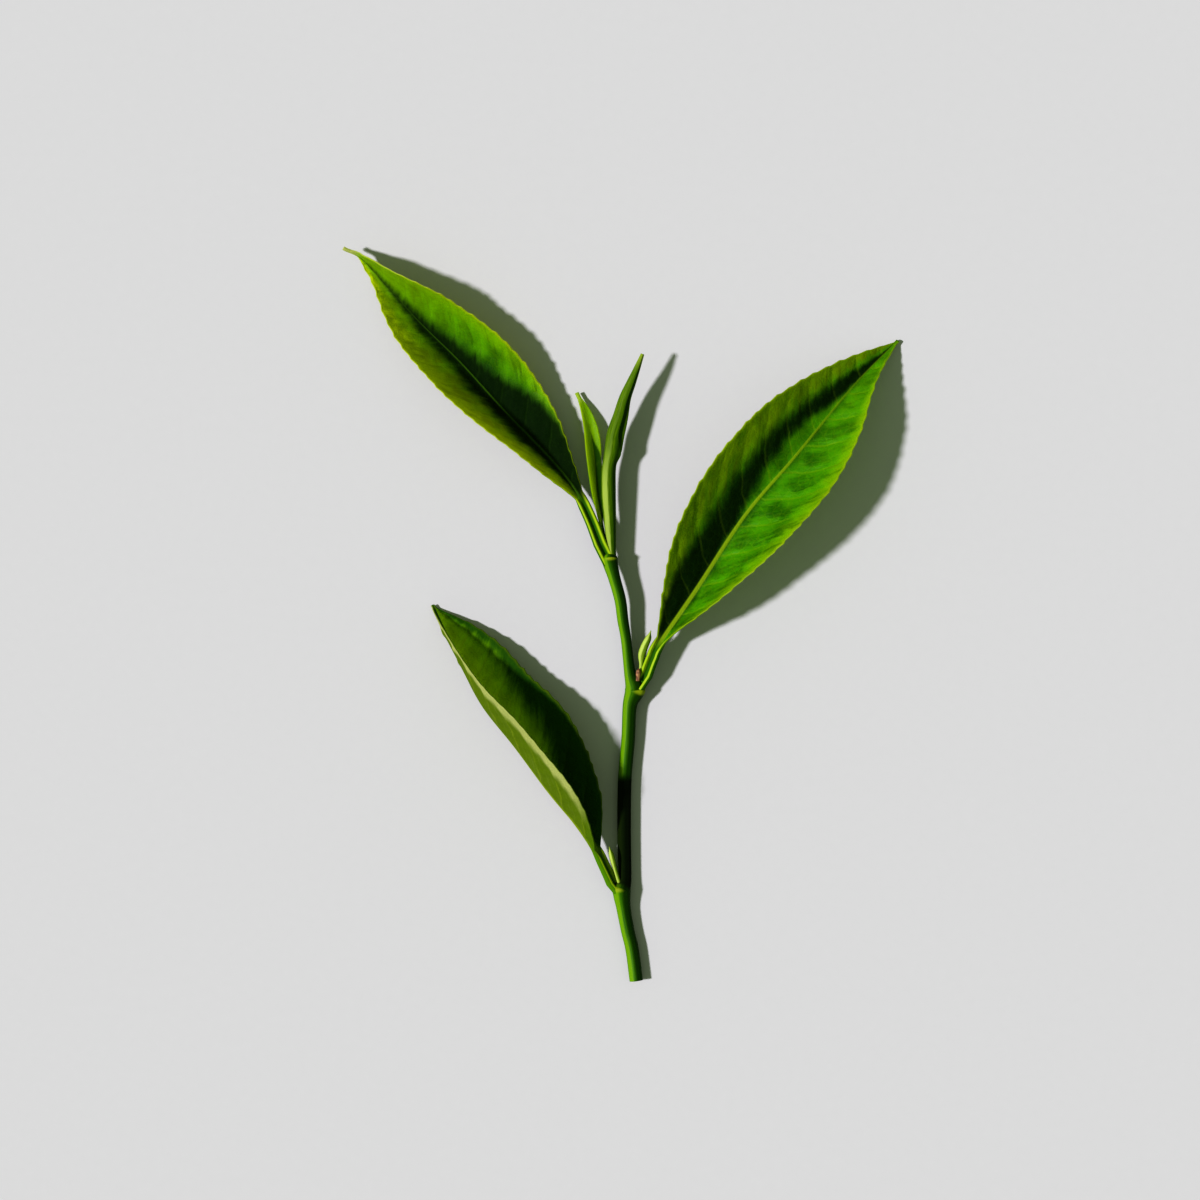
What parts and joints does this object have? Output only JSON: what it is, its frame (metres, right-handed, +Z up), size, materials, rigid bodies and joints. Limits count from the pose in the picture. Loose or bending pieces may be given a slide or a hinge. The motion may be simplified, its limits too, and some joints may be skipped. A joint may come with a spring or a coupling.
{
  "type": "tea leaf sprig",
  "caption": "Cut tea sprig lying on a surface: a slim green stem with folded, saw-toothed leaves set alternately, a young folded leaf and a pointed bud at its tip.",
  "frame": {"origin": "middle of the sprig's bounds, on the surface it lies on", "axes": "+Y along the sprig from the cut end towards the shoot tip, +Z up from the surface, +X to the right as seen from above"},
  "size_m": [0.0834, 0.11, 0.0125],
  "materials": {
    "stem": "satin",
    "leaf": "satin",
    "young_leaf": "satin",
    "bud": "satin",
    "scale": "matte"
  },
  "bodies": {
    "root": {"stem": "stem", "leaf_right": "leaf", "leaf_upper": "leaf", "leaf_lower": "leaf", "leaf_young": "young_leaf", "bud_terminal": "bud", "bud_axil_right": "bud", "bud_axil_lower": "bud", "scale_axil": "scale"}
  },
  "joints": []
}
